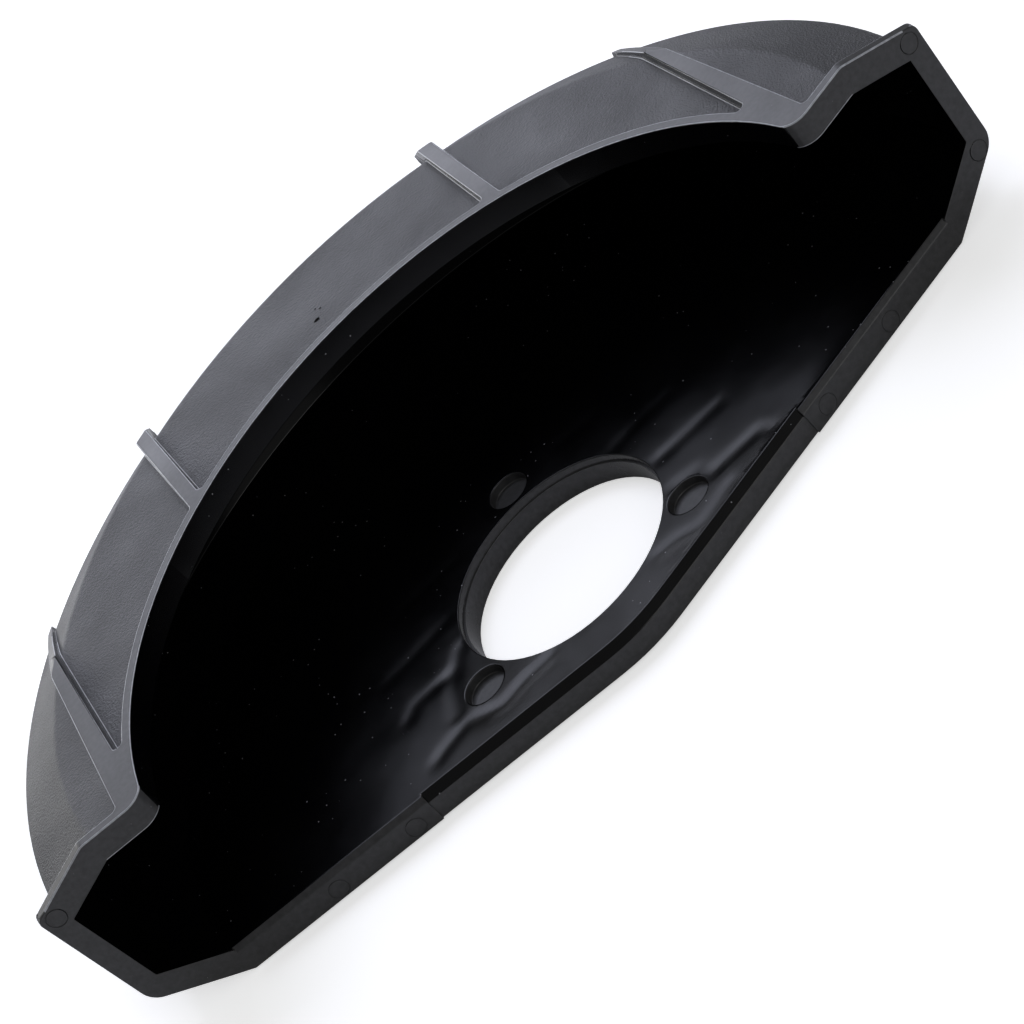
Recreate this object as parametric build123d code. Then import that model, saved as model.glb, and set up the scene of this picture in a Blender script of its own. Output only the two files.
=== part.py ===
"""Edger blade guard: one injection-moulded plastic shell, half a disc with a folded-over rim.

The guard lies on its back. The origin is on the bore axis in the end face of the collar. +Z points
into the hollow along the blade's axis and +Y points from the straight edge to the top of the arc.
The guard is the same on both sides of X = 0, apart from the ring of recesses round its bore.
Heights in the list below are counted from the plate's inner face.
"""
from build123d import *
from math import cos, radians, sin, sqrt, tan
import os

# Thickness of the shell at the plate, the sloped floor, the skirt, the shoulder and the band
plate_wall = 3.0
floor_wall = 3.0
skirt_wall = 2.1
shoulder_wall = 2.7
band_wall = 3.2

# How far the rim and the ribs stand proud of the same five walls
plate_rib = 3.7
floor_rib = 3.0
skirt_rib = 2.95
shoulder_rib = 3.6
band_rib = 3.0
rim_width = 2.4         # thickness of the rim along the straight edge and round the mouth

# Inner surface, from the skirt's top down to the plate and up to the band
skirt_radius = 116.0
skirt_height = 29.0
skirt_lean = 1.8        # how much narrower the skirt is at its foot
floor_run = 13.6        # from the foot of the skirt in to the edge of the plate
floor_height = 7.0
shoulder_run = 13.0     # from the top of the skirt in to the fold
foot_share = 0.25       # the part of the shoulder next to the skirt that is round the skirt's axis
fold_height = 34.8
floor_radius = skirt_radius - skirt_lean
plate_edge_radius = floor_radius - floor_run
fold_radius = skirt_radius - shoulder_run
skirt_centre_y = -7.5   # the skirt's axis lies below the bore axis
fold_centre_y = -5.0    # and so does the axis of the fold between shoulder and band

# Rounding of the outside, shell first and then rim and ribs
skirt_round = 4.0
fold_round = 3.0
floor_round = 4.0
rim_skirt_round = 2.0
rim_floor_round = 5.0

# Mouth in the folded-over band
mouth_radius = 89.2
mouth_centre_y = -29.8
mouth_corner_radius = 4.5
pocket_round = 1.2      # rounding of the corners between rim and ribs

# Straight edge, two planes that meet in a shallow V and are rounded round the hub
flange_offset = 37.1    # from the bore axis to each plane
flange_angle = 12.7     # degrees from the X axis
flange_bevel = 1.1      # along the plate's inner face
insert_reach = 52.5     # the stretch within this distance of the middle was shaped by a mould insert,
insert_step = 0.35      # it lies this much further in
insert_bevel = 1.7      # and has a wider bevel

# Hub
bore_radius = 25.5
bore_lip_depth = 1.8
bore_ledge = 0.4        # the collar's bore is this much smaller than the bore in the plate
collar_radius = 29.0
collar_depth = 7.2      # from the plate's inner face to the end of the collar
recess_radius = 4.7
recess_depth = 2.0
recess_circle_radius = 31.65
recess_turn = -4.9      # degrees, the ring of recesses is turned a little from the axis of symmetry
recess_count = 3
boss_radius = 9.0

# Ribs on the outside, the outer pair is wedge shaped
inner_rib_x = 43.9
inner_rib_width = 3.7
outer_rib_x = 90.6      # middle of the rib on the line through the bore axis
outer_rib_width = 5.0
outer_rib_inner_tilt = 2.1      # degrees
outer_rib_outer_tilt = 4.5      # degrees
cross_rib_width = 2.4
cross_rib_places = (-20.3, -2.1, 13.9, 29.4)
top_cross_rib_y = 72.9

spare = 1.0             # how far a cutting body runs past the material
reach = 2 * skirt_radius


def mitred(growths):
    """The section's corners with each wall moved outwards by its own growth."""
    section = [
        (0, 0),
        (plate_edge_radius, 0),
        (floor_radius, floor_height),
        (skirt_radius, skirt_height),
        (fold_radius, fold_height),
        (0, fold_height),
    ]
    walls = []
    for start, end, growth in zip(section, section[1:], growths):
        run, rise = end[0] - start[0], end[1] - start[1]
        length = sqrt(run * run + rise * rise)
        nx, nz = rise / length, -run / length
        walls.append((nx, nz, nx * start[0] + nz * start[1] + growth))
    corners = []
    for (ax, az, a), (bx, bz, b) in zip(walls, walls[1:]):
        cross = ax * bz - az * bx
        corners.append(((a * bz - b * az) / cross, (b * ax - a * bx) / cross))
    return corners


def body(growths, floor_rounding, skirt_rounding, fold_rounding):
    """The hollow of the guard as a solid, with its walls moved outwards by the growths."""
    plate, floor, skirt, fold = mitred(growths)
    foot = tuple(low + foot_share * (high - low) for low, high in zip(skirt, fold))
    half = make_face(Polyline((0, plate[1]), plate, floor, skirt, foot, (0, foot[1]), close=True))
    if skirt_rounding:
        top = [vertex for vertex in half.vertices() if abs(vertex.Y - skirt[1]) < spare / 10]
        half = fillet(top, skirt_rounding)
    turned = Pos(0, skirt_centre_y, 0) * revolve(Plane.XZ * half, Axis.Z)
    low_ring = Pos(0, skirt_centre_y, foot[1]) * Circle(foot[0])
    high_ring = Pos(0, fold_centre_y, fold[1]) * Circle(fold[0])
    solid = turned + loft([low_ring, high_ring], ruled=True)
    for corner, rounding in ((floor, floor_rounding), (fold, fold_rounding)):
        if rounding:
            edges = [edge for edge in solid.edges() if abs(edge.center().Z - corner[1]) < spare / 10
                     and edge.geom_type == GeomType.CIRCLE]
            solid = fillet(edges, rounding)
    return solid


def plan_outline(inset):
    """The region above the straight edge, seen from above, with the edge moved in by inset."""
    offset = flange_offset - inset
    angle = radians(flange_angle)
    touch = (offset * sin(angle), -offset * cos(angle))
    corner = (touch[0] + reach * cos(angle), touch[1] + reach * sin(angle))
    hub_arc = ThreePointArc((-touch[0], touch[1]), (0, -offset), touch)
    sides = Polyline(touch, corner, (corner[0], reach), (-corner[0], reach),
                     (-corner[0], corner[1]), (-touch[0], touch[1]))
    return make_face([hub_arc, sides])


def block(face, low, high):
    """A prism over a face that lies in the XY plane."""
    return extrude(Pos(0, 0, low) * face, amount=high - low)


def band_plan(inset):
    """The band seen from above, with the rounded corners where the mouth meets the edge."""
    opening = Pos(0, mouth_centre_y) * Circle(mouth_radius + inset)
    face = plan_outline(inset) - opening
    tips = [v for v in face.vertices() if v.Y < 0 and abs(v.X) < fold_radius]
    return fillet(tips, mouth_corner_radius - inset)


def rib_side(x, tilt):
    """One side of a rib seen from above, as its X below and above the part."""
    lean = (reach + spare) * tan(radians(tilt))
    return x + lean, x - lean


def pocket(plan, left, right):
    """What a plan shows between two rib sides, with rounded corners where they meet the rim."""
    end = reach + spare
    outline = Polyline((left[0], -end), (right[0], -end), (right[1], end), (left[1], end), close=True)
    gap = make_face(outline)
    face = plan & gap
    corners = []
    for vertex in face.vertices():
        share = (vertex.Y + end) / (2 * end)
        sides = [low + share * (high - low) for low, high in (left, right)]
        on_side = min(abs(vertex.X - side) for side in sides) < pocket_round / 100
        if on_side and vertex.Y < skirt_radius:
            corners.append(vertex)
    return fillet(corners, pocket_round)


def pockets(plan):
    """The three plans between the four ribs and the two beyond them."""
    inner_near = rib_side(inner_rib_x - inner_rib_width / 2, 0)
    inner_far = rib_side(inner_rib_x + inner_rib_width / 2, 0)
    outer_near = rib_side(outer_rib_x - outer_rib_width / 2, outer_rib_inner_tilt)
    outer_far = rib_side(outer_rib_x + outer_rib_width / 2, outer_rib_outer_tilt)
    border = rib_side(reach, 0)
    middle = pocket(plan, (-inner_near[0], -inner_near[1]), inner_near)
    right = [pocket(plan, inner_far, outer_near), pocket(plan, outer_far, border)]
    return [middle, *right, *[mirror(face, about=Plane.YZ) for face in right]]


def shell():
    """Plate, sloped floor, skirt, shoulder and band with their ribs and the rim, as one shell."""
    walls = (plate_wall, floor_wall, skirt_wall, shoulder_wall, band_wall)
    ribs = (plate_rib, floor_rib, skirt_rib, shoulder_rib, band_rib)
    hollow = body([0] * len(walls), 0, 0, 0)
    skin = body(walls, floor_round, skirt_round, fold_round)
    outside = body([w + r for w, r in zip(walls, ribs)], rim_floor_round, rim_skirt_round, fold_round)
    middle = skirt_height / 2
    top = fold_height + band_wall + band_rib
    solid = outside & block(plan_outline(0), -collar_depth, top + spare)
    for face in pockets(band_plan(rim_width)):
        solid -= block(face, middle, top + spare) - skin
    for face in pockets(plan_outline(rim_width)):
        solid -= block(face, -collar_depth - spare, middle) - skin
    mouth = plan_outline(0) - band_plan(0)
    return solid - hollow - block(mouth, fold_height - spare, top + spare)


def recess_places():
    """Where the fixing recesses stand, evenly spaced round the bore."""
    places = []
    for number in range(recess_count):
        angle = radians(90 + recess_turn - number * 360 / recess_count)
        places.append(Pos(recess_circle_radius * cos(angle), recess_circle_radius * sin(angle), 0))
    return places


def post(radius, depth, above=0):
    """A round post or hole that runs from the plate's inner face down to a depth."""
    return Pos(0, 0, above) * Cylinder(radius, depth + above, align=(Align.CENTER, Align.CENTER, Align.MAX))


def hub():
    """Collar and bosses behind the plate, with the short ribs that tie them to the long ones."""
    solid = post(collar_radius, collar_depth)
    for place in recess_places():
        solid += place * post(boss_radius, plate_wall + plate_rib)
    for y in (*cross_rib_places, top_cross_rib_y):
        solid += Pos(0, y, 0) * Box(2 * inner_rib_x, cross_rib_width, plate_wall + plate_rib,
                                    align=(Align.CENTER, Align.CENTER, Align.MAX))
    return solid & block(plan_outline(0), -collar_depth - spare, spare)


def edge_trim(step, bevel):
    """What is cut off the straight edge, a thin layer and a bevel along the plate's inner face."""
    lower, upper = plan_outline(step), plan_outline(step + bevel)
    kept = loft([Pos(0, 0, -bevel) * lower, upper], ruled=True)
    trim = block(plan_outline(-spare), -bevel, 0) - kept
    if step:
        trim += block(plan_outline(-spare) - lower, -collar_depth - spare, spare)
    return trim


def guard():
    """The whole moulding as one solid."""
    plate_area = Pos(0, skirt_centre_y, 0) * Cylinder(plate_edge_radius, reach)
    insert = Box(2 * insert_reach, reach, reach)
    solid = shell() + hub()
    solid -= edge_trim(0, flange_bevel) & plate_area
    solid -= edge_trim(insert_step, insert_bevel) & insert
    solid -= post(bore_radius - bore_ledge, collar_depth + spare, spare)
    solid -= post(bore_radius, bore_lip_depth, spare)
    for place in recess_places():
        solid -= place * post(recess_radius, recess_depth, spare)
    return solid


blade_guard = Pos(0, 0, collar_depth) * guard()
blade_guard.label = "blade_guard"
os.makedirs("parts", exist_ok=True)
export_step(blade_guard, "parts/blade_guard.step")
print("volume", round(blade_guard.volume / 1000, 1), "cm3, solids", len(blade_guard.solids()))
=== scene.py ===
"""Edger blade guard: finish, fine detail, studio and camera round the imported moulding."""
import math

import bmesh
import bpy
from mathutils import Matrix, Vector
from mathutils.bvhtree import BVHTree


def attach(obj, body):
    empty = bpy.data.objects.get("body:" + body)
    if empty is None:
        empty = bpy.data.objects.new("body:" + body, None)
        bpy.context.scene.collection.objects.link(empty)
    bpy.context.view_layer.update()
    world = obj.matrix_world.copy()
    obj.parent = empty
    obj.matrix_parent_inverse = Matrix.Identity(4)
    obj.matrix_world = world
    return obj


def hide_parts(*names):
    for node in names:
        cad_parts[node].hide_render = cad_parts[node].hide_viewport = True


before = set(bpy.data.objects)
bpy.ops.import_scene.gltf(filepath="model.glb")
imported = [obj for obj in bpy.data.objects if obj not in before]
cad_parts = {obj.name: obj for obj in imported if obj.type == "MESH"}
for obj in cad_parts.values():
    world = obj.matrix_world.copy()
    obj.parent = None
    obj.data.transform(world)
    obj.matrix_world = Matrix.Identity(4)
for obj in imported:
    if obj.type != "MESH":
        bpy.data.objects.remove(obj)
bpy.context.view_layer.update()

MM = 0.001
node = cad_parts["blade_guard"]

# The moulding's finishes, in the order of its material slots. The hollow's near-black one is partly
# painted shade, and the pale one on the edges is a painted highlight
SATIN, GRAINED, POLISHED_PAINTED_SHADE, PAINTED_HIGHLIGHT, REAMED = range(5)

# Heights of the moulding's flat faces
plate_inside = 7.2 * MM
plate_outside = 4.2 * MM
band_inside = 42.0 * MM
band_outside = 45.2 * MM
ledge_height = 5.4 * MM         # the ledge in the bore
touch = 0.05 * MM               # how near a face lies to a height to count as on it

# The hollow, its middle lies on the skirt's axis
hollow_middle = Vector((0, -7.5 * MM, (plate_inside + band_inside) / 2))
hollow_radius = 116.5 * MM

# The walls round the pockets stand above this height and within this distance of the skirt's axis;
# they get the hollow's near-black finish as painted shade
wall_foot = 38 * MM
wall_reach = 112 * MM

bore_reach = 25.8 * MM          # the wall of the bore lies within this distance of its axis

mouth_middle = Vector((0, -29.8 * MM))
mouth_radius = 89.2 * MM
mouth_slack = 0.3 * MM          # how far a face of its wall lies from the true circle

# Straight edge, two planes that meet in a shallow V
flange_offset = 37.1 * MM       # from the bore axis to each plane
flange_angle = math.radians(12.7)
step_place = 52.5 * MM          # the step in the straight edge, on both sides
step_slack = 0.2 * MM           # how near an edge lies to the step to belong to it

# How faces lie, as parts of their normals
level = 0.999                   # at least this much up or down
steep = 0.35                    # at most this much up or down
upright = 0.1                   # the same for a wall that stands straight up
inward = 0.9                    # at least this much away from the straight edge
bevel_low, bevel_high = 0.3, 0.9        # how much the insert's bevel looks up
half_turned = -0.5              # at least this much up, or away from the straight edge

# Fine mesh
weld = 0.04 * MM                # points that lie closer than this become one
same_plane = math.radians(0.05)         # faces that meet flatter than this become one
cut_slack = 0.0005 * MM         # how near a point lies to a cut to count as on it
grid_border = 0.5 * MM          # kept free of the fine mesh along the plate's edges
band_cuts = (-95, -70, -56, -30, -11, 11, 30, 56, 70, 95)       # x, in mm

# Rounding of the edges
edge_round = 0.28 * MM
round_steps = 2
crease = math.radians(32)       # edges sharper than this are rounded
fold = math.radians(12)         # edges of the hollow between this and the crease stay sharp
narrow_weight = 0.4             # share of the rounding where two edges lie close together

# Sink marks in the plate, where the ribs behind it drew it in as it cooled, as (x, y) in mm
sink_spacing = 1.1 * MM
sink_area = ((-56, 56), (-36, 36))      # the stretch of the plate that gets a fine mesh, in mm
sink_depth = 0.16 * MM
sink_width = 1.9                        # mm
sink_lines = (
    ((23.9, 13.6), (30, 13.9), (38.6, 13.3)),
    ((28.1, -1.5), (36, -2.3), (43.5, -2.9)),
    ((17.2, 30), (25.7, 27.8)),
    ((34, -18.9), (44.5, -20.1), (46.3, -22.9)),
    ((13.6, -25.5), (17.8, -26.2), (21.9, -28.6), (24.1, -29.1), (33, -26.2)),
    ((25.9, -12.6), (30.7, -14.3), (32.3, -18.8)),
    ((-43.5, 12.7), (-25.2, 13.2)),
    ((-44.6, -2.7), (-41.3, -0.4), (-33, -1.6)),
    ((-31.2, 28.4), (-16, 27.5)),
    ((-45.4, -20.3), (-43.5, -19.5), (-36.2, -18.3), (-32.6, -21.1), (-28.8, -23.4),
     (-21.8, -22.7), (-16, -23.3)),
    ((-27.1, 2.6), (-33.7, -5.8), (-36.6, -14.1)),
)

# Round marks that ejector pins left in the straight edge, as (x, z) in mm
pin_radius = 2.15 * MM
pin_groove = 0.14 * MM          # depth of the fine groove round each pin
pin_places = ((118, 39.0), (-118, 39.0), (115, 10.7), (78.3, 3.0), (-77.0, 3.0), (57.6, 3.1),
              (-57.6, 3.1))
pin_steps, groove_steps = 40, 8         # round the pin and round the groove

# Pits at the gate, where the plastic came in, as (x, y, radius) in mm
gate_depth = 0.45 * MM
gate_pits = ((0.6, 73.3, 0.75), (2.05, 77.4, 0.3), (2.9, 76.1, 0.3))
pit_steps = 24
mark_reach = 1.5                # an edge within this many depths of a mark's plane belongs to it

# Outer ends of the ribs, which slope down to the skirt, as profiles of (radius round the skirt's
# axis, height) in mm. The piece of ring that a profile encloses is cut off
below_slope = ((119.2, 30), (119.3, 14), (126, 14), (126, 50.2))
inner_rib_end = ((101.9, 50.2), (118.5, 40.7), (119.7, 38.5)) + below_slope
outer_rib_end = ((98.4, 50.2), (118.5, 38.8), (119.7, 36.6)) + below_slope

# Each cut with the angles from the top of the arc where it starts and ends, and its steps
rib_cuts = (
    (inner_rib_end, -33, 33, 33),
    (outer_rib_end, 38, 66, 14),
    (outer_rib_end, -66, -38, 14),
)
inner_rib = (41.9, 45.9)                # the stretch of x that the inner ribs take up, in mm
inner_rib_ends = (60, 112)              # y where they begin and end
inner_rib_taper = 0.3                   # how much narrower they are at the outer end

# Finish, sizes in mm
flow_size = 22                          # of the patches of sheen
grain_detail, grain_mix = 2.0, 0.55     # octaves of the grain's noise and the share of each
flow_detail, flow_mix = 4.0, 0.6
noise_low, noise_high = 0.3, 0.7        # noise seldom leaves this range
sheen_spread = 0.06                     # how far the roughness wanders
tone_spread = 0.25                      # how much the grain darkens and lightens the colour
dust_spacing = 2.6
dust_cloud = 26
dust_detail = 2.0                       # octaves of the clouds' noise
dust_start, dust_full = 0.38, 0.58      # the cloud noise where dust begins and is thickest
dust_colour = "#8f8f93"
refraction = 1.49                       # of polypropylene
mixed_colour = 2                        # output of a mix node, the colours go into 6 and 7

# Studio, each lamp with its place in metres, its size, its power in watts and its colour
lamps = (
    ("back_softbox", (0.2, 1.05, 1.55), 1.2, 13, "#e8ecff"),
    ("low_back_softbox", (0.1, 2.0, 0.5), 1.1, 12, "#edf0ff"),
    ("left_back_softbox", (-0.8, 1.9, 0.32), 0.6, 6, "#ffffff"),
    ("left_softbox", (-1.7, 0.9, 0.4), 0.7, 5, "#ffffff"),
    ("front_softbox", (0.7, -1.5, 0.8), 1.0, 5, "#ffffff"),
)
world_strength = 0.2
backdrop_strength = 1.0         # of the background that the camera sees
floor_glow = 0.55               # what the camera sees the floor give off, so that it looks white
floor_size = 6
floor_height = -0.2 * MM        # just under the part, so that the two don't flicker
white = "#ffffff"

# Camera, found by fitting the edges of the part to the photograph
view_aim = Vector((0, 0.0244, plate_inside))
view_distance = 0.7557
view_azimuth = 0.93             # degrees
view_elevation = 31.68
view_roll = -45.27
lens = 128.95                   # mm
sensor_width = 36               # mm


def linear(hex_colour):
    """An sRGB hex colour as linear red, green, blue and alpha."""
    parts = [int(hex_colour[i:i + 2], 16) / 255 for i in (1, 3, 5)]
    return [p / 12.92 if p <= 0.04045 else ((p + 0.055) / 1.055) ** 2.4 for p in parts] + [1]


def add(tree, kind, settings=None, **links):
    """Adds a node to a material with its settings, values and links to its inputs.

    An input goes by its name, or by i and its number.
    """
    made = tree.nodes.new(kind)
    for name, value in (settings or {}).items():
        setattr(made, name, value)
    for name, value in links.items():
        numbered = name[0] == "i" and name[1:].isdigit()
        socket = made.inputs[int(name[1:]) if numbered else name.replace("_", " ")]
        if isinstance(value, bpy.types.NodeSocket):
            tree.links.new(value, socket)
        else:
            socket.default_value = value
    return made


def new_material(name):
    """An empty node material and its tree."""
    material = bpy.data.materials.new(name)
    material.use_nodes = True
    material.node_tree.nodes.clear()
    return material, material.node_tree


def select_only(piece):
    """Makes one object the only one that operators act on."""
    bpy.ops.object.select_all(action="DESELECT")
    piece.select_set(True)
    bpy.context.view_layer.objects.active = piece


def grow(seeds, limit):
    """The faces that are reached from the seeds without crossing an edge sharper than the limit."""
    found, waiting = set(seeds), list(seeds)
    while waiting:
        for edge in waiting.pop().edges:
            if edge.calc_face_angle(0) < limit:
                for face in edge.link_faces:
                    if face not in found:
                        found.add(face)
                        waiting.append(face)
    return found


def face_of_mouth(middle, facing):
    """Whether a face belongs to the wall of the mouth, which is as smooth as the hollow and takes
    its near-black colour, partly painted shade.
    """
    spoke = middle.xy - mouth_middle
    return (abs(facing.z) < upright and abs(spoke.length - mouth_radius) < mouth_slack
            and spoke.dot(facing.xy) < 0)


def face_of_bevel(middle, facing):
    """Whether a face belongs to the insert's bevel between the plate and the straight edge, which
    gets the near-black finish as painted shade.
    """
    return (middle.z < plate_inside and middle.y < 0 and abs(middle.x) < step_place
            and bevel_low < facing.z < bevel_high and facing.y < -bevel_low)


def face_of_wall(middle, facing):
    """Whether a face is one of the steep walls of ribs and rim round the pockets in the band, which
    get painted shade.
    """
    return (middle.z > wall_foot and abs(facing.z) < steep and facing.y > half_turned
            and (middle - hollow_middle).xy.length < wall_reach)


def face_of_bore(middle, facing):
    """Whether a face belongs to the wall of the bore."""
    return (middle.z < plate_inside and middle.xy.length < bore_reach and abs(facing.z) < upright
            and middle.xy.dot(facing.xy) < 0)


def face_of_hollow(middle, facing):
    """Whether a face looks into the hollow."""
    spoke = middle - hollow_middle
    return (plate_inside - touch < middle.z < band_inside + touch and spoke.dot(facing) < 0
            and spoke.xy.length < hollow_radius)


def paint_regions(mesh):
    """Gives each face its finish, where rim and ribs keep the satin one, but the steep walls of
    ribs and rim and the insert's bevel take the hollow's near-black finish as painted shade.
    """
    seeds = []
    for face in mesh.faces:
        middle, facing = face.calc_center_median(), face.normal
        if (abs(middle.z - band_outside) < touch and facing.z > level
                or abs(middle.z - plate_outside) < touch and facing.z < -level):
            seeds.append(face)
        if face_of_bore(middle, facing):
            face.material_index = REAMED
        elif middle.y < 0 and facing.y > inward:
            # The inner side of the rim along the straight edge
            face.material_index = SATIN
        # The hollow and the mouth's wall get the polished finish; on the pocket walls and the
        # insert's bevel its near-black colour is painted shade
        elif any(test(middle, facing) for test in (face_of_hollow, face_of_mouth, face_of_bevel,
                                                   face_of_wall)):
            face.material_index = POLISHED_PAINTED_SHADE
    for face in grow(seeds, crease):
        face.material_index = GRAINED


def distance_to(line, x, y):
    """How far a point lies from a line of points."""
    nearest = math.inf
    for (ax, ay), (bx, by) in zip(line, line[1:]):
        run, rise = bx - ax, by - ay
        share = ((x - ax) * run + (y - ay) * rise) / (run * run + rise * rise)
        share = min(max(share, 0), 1)
        nearest = min(nearest, math.hypot(x - ax - share * run, y - ay - share * rise))
    return nearest


def plate_faces(mesh):
    """The faces of the plate's flat inner side."""
    faces = []
    for face in mesh.faces:
        height = face.calc_center_median().z
        if abs(height - plate_inside) < touch and face.normal.z > level:
            faces.append(face)
    return faces


def cut_faces(mesh, faces, place, axis):
    """Divides the faces by the plane through a place across an axis."""
    geometry = dict.fromkeys(faces)     # a set would have another order in each run
    for face in faces:
        geometry.update(dict.fromkeys(face.edges))
        geometry.update(dict.fromkeys(face.verts))
    bmesh.ops.bisect_plane(mesh, geom=list(geometry), plane_co=place, plane_no=axis,
                           dist=cut_slack)


def cut_grid(mesh):
    """Divides the plate's inner face by a fine grid round the hub."""
    border = bmesh.ops.inset_region(mesh, faces=plate_faces(mesh), thickness=grid_border,
                                    use_even_offset=True, use_boundary=True)
    border = set(border["faces"])
    along_x, along_y = Vector((1, 0, 0)), Vector((0, 1, 0))
    for (low, high), axis in zip(reversed(sink_area), (along_y, along_x)):
        steps = round((high - low) * MM / sink_spacing)
        for n in range(steps + 1):
            place = axis * (low + (high - low) * n / steps) * MM
            faces = [face for face in plate_faces(mesh) if face not in border]
            cut_faces(mesh, faces, place, axis)


def divide_band(mesh):
    """Divides the band's long flat faces into short ones, which keep their shape when rounded."""
    for place in band_cuts:
        faces = []
        for face in mesh.faces:
            height = face.calc_center_median().z
            if height > band_inside - touch and abs(face.normal.z) > level:
                faces.append(face)
        cut_faces(mesh, faces, (place * MM, 0, 0), (1, 0, 0))


def sink(mesh):
    """Lowers the plate's inner face along the sink marks."""
    for vertex in mesh.verts:
        if abs(vertex.co.z - plate_inside) > touch:
            continue
        if any(face.normal.z < level for face in vertex.link_faces):
            continue
        x, y = vertex.co.x / MM, vertex.co.y / MM
        for line in sink_lines:
            vertex.co.z -= sink_depth * math.exp(-(distance_to(line, x, y) / sink_width) ** 2)


def marks():
    """The ejector marks and the gate's pits, each with its radius, depth, middle and facing."""
    found = []
    for x, z in pin_places:
        facing = Vector((math.copysign(math.sin(flange_angle), x), -math.cos(flange_angle), 0))
        y = (abs(x) * MM * math.sin(flange_angle) - flange_offset) / math.cos(flange_angle)
        found.append((pin_radius, pin_groove, Vector((x * MM, y, z * MM)), facing))
    for x, y, radius in gate_pits:
        place = Vector((x * MM, y * MM, band_outside))
        found.append((radius * MM, gate_depth, place, Vector((0, 0, 1))))
    return found


def rib_cutters():
    """The ring pieces that are cut off the outer ends of the ribs."""
    rings = []
    axis = hollow_middle * Vector((1, 1, 0))
    for profile, start, end, steps in rib_cuts:
        bpy.ops.mesh.primitive_circle_add(vertices=len(profile), fill_type="NGON")
        ring = bpy.context.object
        angle = math.radians(start)
        for vertex, (radius, height) in zip(ring.data.vertices, profile):
            spoke = Vector((math.sin(angle), math.cos(angle), 0)) * radius * MM
            vertex.co = axis + spoke + Vector((0, 0, height * MM))
        bpy.ops.object.mode_set(mode="EDIT")
        bpy.ops.mesh.select_all(action="SELECT")
        bpy.ops.mesh.spin(steps=steps, angle=math.radians(end - start), center=axis, axis=(0, 0, 1))
        bpy.ops.mesh.select_all(action="SELECT")
        bpy.ops.mesh.normals_make_consistent(inside=False)
        bpy.ops.object.mode_set(mode="OBJECT")
        rings.append(ring)
    return rings


def taper_ribs(mesh):
    """Narrows the inner ribs towards their outer ends."""
    (low, high), (near, far) = inner_rib, inner_rib_ends
    for vertex in mesh.verts:
        x, y = abs(vertex.co.x) / MM, vertex.co.y / MM
        on_shell = any(face.material_index == GRAINED
                       or face.material_index == POLISHED_PAINTED_SHADE and abs(face.normal.z) > steep
                       for face in vertex.link_faces)
        if low < x < high and y > near and vertex.co.z > plate_inside and not on_shell:
            share = inner_rib_taper * (y - near) / (far - near)
            shift = (x - (low + high) / 2) * share * MM
            vertex.co.x -= math.copysign(shift, vertex.co.x)


def press_marks(piece):
    """Presses the ejector marks and the gate's pits in and slopes the ends of the ribs."""
    cutters = rib_cutters()
    for radius, depth, place, facing in marks():
        turn = facing.to_track_quat("Z", "Y").to_euler()
        if depth == pin_groove:
            bpy.ops.mesh.primitive_torus_add(major_segments=pin_steps, minor_segments=groove_steps,
                                             major_radius=radius, minor_radius=depth,
                                             location=place, rotation=turn)
        else:
            bpy.ops.mesh.primitive_cylinder_add(vertices=pit_steps, radius=radius, depth=2 * depth,
                                                location=place, rotation=turn)
        cutters.append(bpy.context.object)
    bpy.ops.object.select_all(action="DESELECT")
    for cutter in cutters:
        cutter.select_set(True)
    bpy.context.view_layer.objects.active = cutters[0]
    bpy.ops.object.join()
    cutter = bpy.context.object
    select_only(piece)
    bpy.ops.object.modifier_add(type="BOOLEAN")
    pressed = piece.modifiers[-1]
    pressed.object = cutter
    pressed.operation = "DIFFERENCE"
    bpy.ops.object.modifier_apply(modifier=pressed.name)
    bpy.data.objects.remove(cutter)


def put_in_order(mesh):
    """Sorts points and faces, because the cut leaves them in another order in each run.

    Points on the same place become one, and faces that shrink to a line by that are left out.
    """
    places = sorted({tuple(vertex.co) for vertex in mesh.vertices})
    numbers = {place: number for number, place in enumerate(places)}
    faces = []
    for face in mesh.polygons:
        corners = [numbers[tuple(mesh.vertices[corner].co)] for corner in face.vertices]
        corners = [corner for n, corner in enumerate(corners) if corner != corners[n - 1]]
        if len(corners) > 2:
            first = corners.index(min(corners))
            faces.append(corners[first:] + corners[:first])
    mesh.clear_geometry()
    mesh.from_pydata(places, [], sorted(faces))


def in_mark(place):
    """Whether a place belongs to one of the pressed marks."""
    for radius, depth, middle, facing in marks():
        spoke = place - middle
        along = spoke.dot(facing)
        across = (spoke - along * facing).length
        if abs(along) < mark_reach * depth and across < radius + pin_groove + touch:
            return True
    return False


def choose_edges(mesh):
    """Gives every crease a bevel weight, apart from the rims of the pressed marks."""
    weight = mesh.edges.layers.float.new("bevel_weight_edge")
    for edge in mesh.edges:
        turn = edge.calc_face_angle(0)
        middle = (edge.verts[0].co + edge.verts[1].co) / 2
        if turn < crease:
            outside = any(face.material_index != POLISHED_PAINTED_SHADE for face in edge.link_faces)
            edge.smooth = turn < fold or outside
        elif in_mark(middle):
            edge.smooth = False
        elif (abs(middle.z - ledge_height) < touch
                or abs(abs(middle.x) - step_place) < step_slack):
            edge[weight] = narrow_weight
        else:
            edge[weight] = 1.0


def pull_in(mesh, surface):
    """Brings back what the rounding pushed out of the moulding's surface."""
    for vertex in mesh.vertices:
        place, _, _, distance = surface.find_nearest(vertex.co)
        if distance > edge_round:
            vertex.co = place


def paint_edges(mesh):
    """Leaves the pale painted highlight only on edges that stand proud and catch the light."""
    sides = {}
    for face in mesh.polygons:
        if face.material_index != PAINTED_HIGHLIGHT:
            for vertex in face.vertices:
                sides.setdefault(vertex, set()).add(face.material_index)
    for face in mesh.polygons:
        if face.material_index == PAINTED_HIGHLIGHT:
            met = set().union(*(sides.get(vertex, set()) for vertex in face.vertices))
            if met == {POLISHED_PAINTED_SHADE}:
                face.material_index = POLISHED_PAINTED_SHADE
            elif face.center.z < band_inside and face.normal.z > half_turned:
                face.material_index = SATIN


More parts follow.
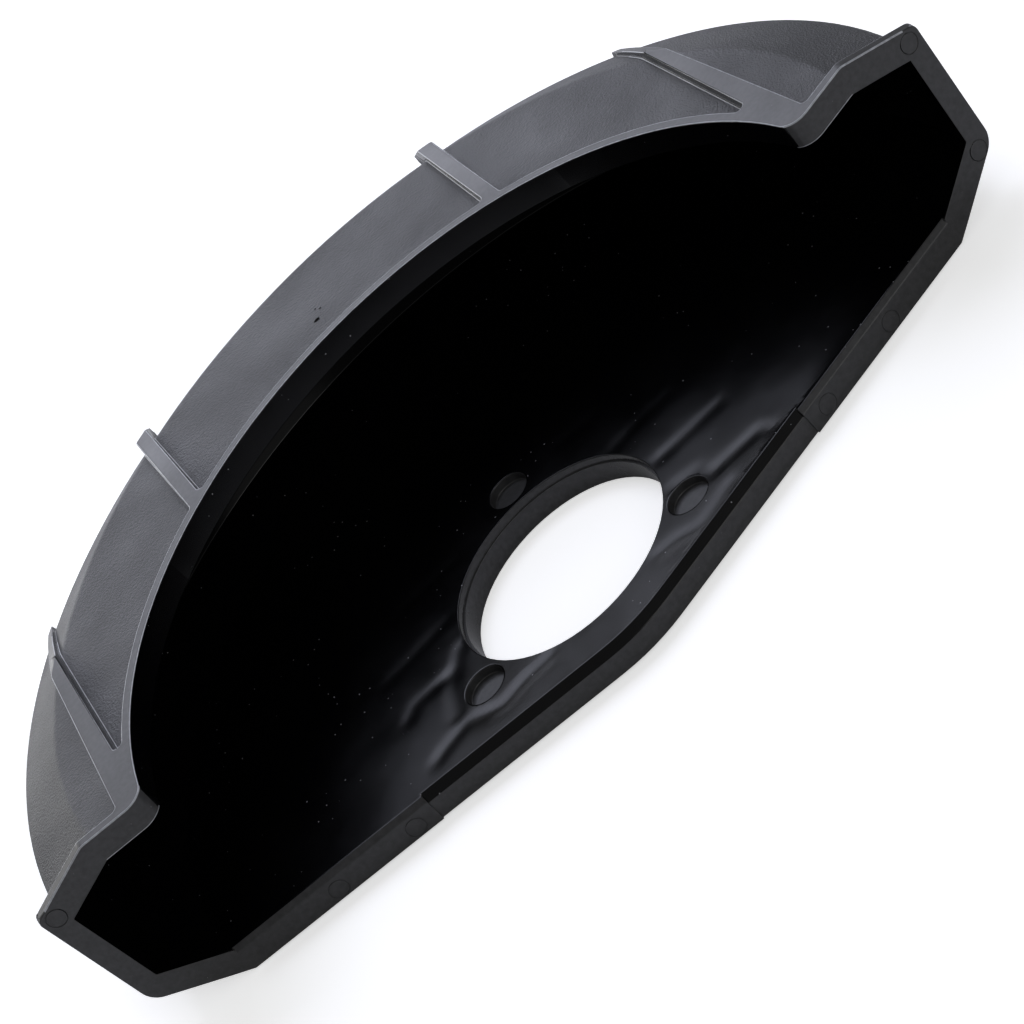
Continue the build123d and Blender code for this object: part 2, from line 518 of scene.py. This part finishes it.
def cut_mesh(mesh):
    """Paints the moulding, divides its flat faces, marks its creases and gives its surface."""
    work = bmesh.new()
    work.from_mesh(mesh)
    work.normal_update()
    paint_regions(work)
    taper_ribs(work)
    bmesh.ops.dissolve_limit(work, angle_limit=same_plane, verts=work.verts, edges=work.edges,
                             delimit={"MATERIAL"})
    cut_grid(work)
    divide_band(work)
    work.normal_update()
    choose_edges(work)
    sink(work)
    surface = BVHTree.FromBMesh(work)
    work.to_mesh(mesh)
    work.free()
    return surface


def round_edges(piece, surface):
    """Rounds the creases and evens out the shading of the flat faces beside them."""
    bpy.ops.object.shade_smooth()
    bpy.ops.object.modifier_add(type="BEVEL")
    rounding = piece.modifiers[-1]
    rounding.width = edge_round
    rounding.segments = round_steps
    rounding.limit_method = "WEIGHT"
    rounding.use_clamp_overlap = False
    rounding.face_strength_mode = "FSTR_ALL"
    # The roundings take the pale finish, a painted highlight along the edges
    rounding.material = PAINTED_HIGHLIGHT
    bpy.ops.object.modifier_apply(modifier=rounding.name)
    pull_in(piece.data, surface)
    paint_edges(piece.data)
    bpy.ops.object.modifier_add(type="WEIGHTED_NORMAL")
    shading = piece.modifiers[-1]
    shading.use_face_influence = True
    shading.keep_sharp = True
    bpy.ops.object.modifier_apply(modifier=shading.name)


def moulding():
    """The CAD moulding with rounded edges, sink marks and the marks of its mould."""
    mesh = node.data.copy()
    mesh.name = "moulding"
    piece = bpy.data.objects.new("moulding", mesh)
    bpy.context.scene.collection.objects.link(piece)
    select_only(piece)
    bpy.ops.mesh.customdata_custom_splitnormals_clear()
    mesh.materials.clear()
    # In the order of the slots named at the top
    for material in (satin_polypropylene(), grained_polypropylene(), polished_painted_shade_polypropylene(),
                     painted_highlight_polypropylene(), reamed_polypropylene()):
        mesh.materials.append(material)
    work = bmesh.new()
    work.from_mesh(mesh)
    bmesh.ops.remove_doubles(work, verts=work.verts, dist=weld)
    work.to_mesh(mesh)
    work.free()
    press_marks(piece)
    put_in_order(mesh)
    round_edges(piece, cut_mesh(mesh))
    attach(piece, "root")
    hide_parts("blade_guard")


def polypropylene(name, colour, roughness, gloss, grain_size, grain_depth, dust):
    """Black injection-moulded polypropylene with a grain of that size and depth in mm."""
    material, tree = new_material(name)
    place = add(tree, "ShaderNodeTexCoord").outputs["Object"]
    # Leather grain of the mould, and the slow changes of sheen where the melt flowed
    grain = add(tree, "ShaderNodeTexNoise", Vector=place, Scale=1 / (grain_size * MM),
                Detail=grain_detail, Roughness=grain_mix)
    flow = add(tree, "ShaderNodeTexNoise", Vector=place, Scale=1 / (flow_size * MM),
               Detail=flow_detail, Roughness=flow_mix)
    bump = add(tree, "ShaderNodeBump", Height=grain.outputs["Fac"], Strength=1.0,
               Distance=grain_depth * MM)
    sheen = add(tree, "ShaderNodeMapRange", Value=flow.outputs["Fac"], From_Min=noise_low,
                From_Max=noise_high, To_Min=roughness - sheen_spread,
                To_Max=roughness + sheen_spread)
    tone = add(tree, "ShaderNodeMapRange", Value=grain.outputs["Fac"], From_Min=noise_low,
               From_Max=noise_high, To_Min=1 - tone_spread, To_Max=1 + tone_spread)
    shade = add(tree, "ShaderNodeMix", {"data_type": "RGBA", "blend_type": "MULTIPLY"}, Factor=1.0,
                i6=linear(colour), i7=tone.outputs["Result"])
    # Dust, single pale specks in loose clouds
    cells = add(tree, "ShaderNodeTexVoronoi", Vector=place, Scale=1 / (dust_spacing * MM))
    clouds = add(tree, "ShaderNodeTexNoise", Vector=place, Scale=1 / (dust_cloud * MM),
                 Detail=dust_detail)
    size = add(tree, "ShaderNodeMapRange", Value=clouds.outputs["Fac"], From_Min=dust_start,
               From_Max=dust_full, To_Min=0.0, To_Max=dust)
    speck = add(tree, "ShaderNodeMath", {"operation": "LESS_THAN"}, i0=cells.outputs["Distance"],
                i1=size.outputs["Result"])
    dusty = add(tree, "ShaderNodeMix", {"data_type": "RGBA"}, Factor=speck.outputs["Value"],
                i6=shade.outputs[mixed_colour], i7=linear(dust_colour))
    surface = add(tree, "ShaderNodeBsdfPrincipled", Normal=bump.outputs["Normal"],
                  Base_Color=dusty.outputs[mixed_colour], Roughness=sheen.outputs["Result"],
                  IOR=refraction, Specular_IOR_Level=gloss)
    add(tree, "ShaderNodeOutputMaterial", Surface=surface.outputs["BSDF"])
    return material


def satin_polypropylene():
    """Rim, ribs, straight edge and hub: a plainly machined mould, so a faint sheen and no grain."""
    return polypropylene("satin_polypropylene", "#333334", roughness=0.40, gloss=0.5,
                         grain_size=1.2, grain_depth=0.02, dust=0.03)


def grained_polypropylene():
    """The panels between the ribs: an etched mould, so a fine leather grain that looks dull."""
    return polypropylene("grained_polypropylene", "#2b2b2d", roughness=0.52, gloss=0.5,
                         grain_size=0.45, grain_depth=0.24, dust=0.0)


def polished_painted_shade_polypropylene():
    """The hollow: a polished mould core, so smooth and glossy at a low angle. Its near-black
    colour, far darker than the rest of the black plastic, is partly painted shade.
    """
    # The near-black colour paints shade into the hollow and onto every face that takes this finish
    return polypropylene("polished_painted_shade_polypropylene", "#030304", roughness=0.2, gloss=0.3,
                         grain_size=3.0, grain_depth=0.004, dust=0.06)


def painted_highlight_polypropylene():
    """Edges: painted pale as a highlight where they catch the light as thin lines, and smooth."""
    return polypropylene("painted_highlight_polypropylene", "#a9abb0", roughness=0.35, gloss=0.5,
                         grain_size=1.2, grain_depth=0.02, dust=0.0)


def reamed_polypropylene():
    """The bore: shaped by a smooth round core pin, so it shines at a low angle."""
    return polypropylene("reamed_polypropylene", "#343436", roughness=0.17, gloss=0.5,
                         grain_size=1.2, grain_depth=0.02, dust=0.0)


def paper_floor():
    """White studio floor that shows as plain white and keeps the object's shadow."""
    material, tree = new_material("white_studio_floor")
    surface = add(tree, "ShaderNodeBsdfDiffuse", Color=linear(white))
    glow = add(tree, "ShaderNodeEmission", Strength=floor_glow)
    path = add(tree, "ShaderNodeLightPath")
    seen = add(tree, "ShaderNodeMixShader", i0=path.outputs["Is Camera Ray"],
               i2=glow.outputs["Emission"])
    both = add(tree, "ShaderNodeAddShader", i0=surface.outputs["BSDF"], i1=seen.outputs["Shader"])
    add(tree, "ShaderNodeOutputMaterial", Surface=both.outputs["Shader"])
    return material


def studio():
    """Floor, lamps and world."""
    bpy.ops.mesh.primitive_plane_add(size=floor_size, location=(0, 0, floor_height))
    floor = bpy.context.object
    floor.name = "studio_floor"
    floor.data.materials.append(paper_floor())
    for name, place, size, power, tint in lamps:
        lamp = bpy.data.lights.new(name, "AREA")
        lamp.size = size
        lamp.energy = power
        lamp.color = linear(tint)[:3]
        holder = bpy.data.objects.new(name, lamp)
        bpy.context.scene.collection.objects.link(holder)
        holder.location = place
        holder.rotation_euler = (-Vector(place)).to_track_quat("-Z", "Y").to_euler()
    world = bpy.data.worlds.new("studio_world")
    bpy.context.scene.world = world
    world.use_nodes = True
    tree = world.node_tree
    tree.nodes.clear()
    light = add(tree, "ShaderNodeBackground", Color=linear(white), Strength=world_strength)
    backdrop = add(tree, "ShaderNodeBackground", Color=linear(white), Strength=backdrop_strength)
    path = add(tree, "ShaderNodeLightPath")
    mixed = add(tree, "ShaderNodeMixShader", i0=path.outputs["Is Camera Ray"],
                i1=light.outputs["Background"], i2=backdrop.outputs["Background"])
    add(tree, "ShaderNodeOutputWorld", Surface=mixed.outputs["Shader"])


def camera():
    """The photograph's view of the part."""
    azimuth, elevation, roll = (math.radians(a) for a in (view_azimuth, view_elevation, view_roll))
    back = Vector((-math.sin(azimuth) * math.cos(elevation),
                   -math.cos(azimuth) * math.cos(elevation), math.sin(elevation)))
    data = bpy.data.cameras.new("camera")
    data.lens = lens
    data.sensor_width = sensor_width
    holder = bpy.data.objects.new("camera", data)
    bpy.context.scene.collection.objects.link(holder)
    turn = (-back).to_track_quat("-Z", "Y").to_matrix() @ Matrix.Rotation(roll, 3, "Z")
    holder.matrix_world = Matrix.Translation(view_aim + back * view_distance) @ turn.to_4x4()
    bpy.context.scene.camera = holder


moulding()
studio()
camera()
bpy.context.scene.view_settings.view_transform = "Standard"
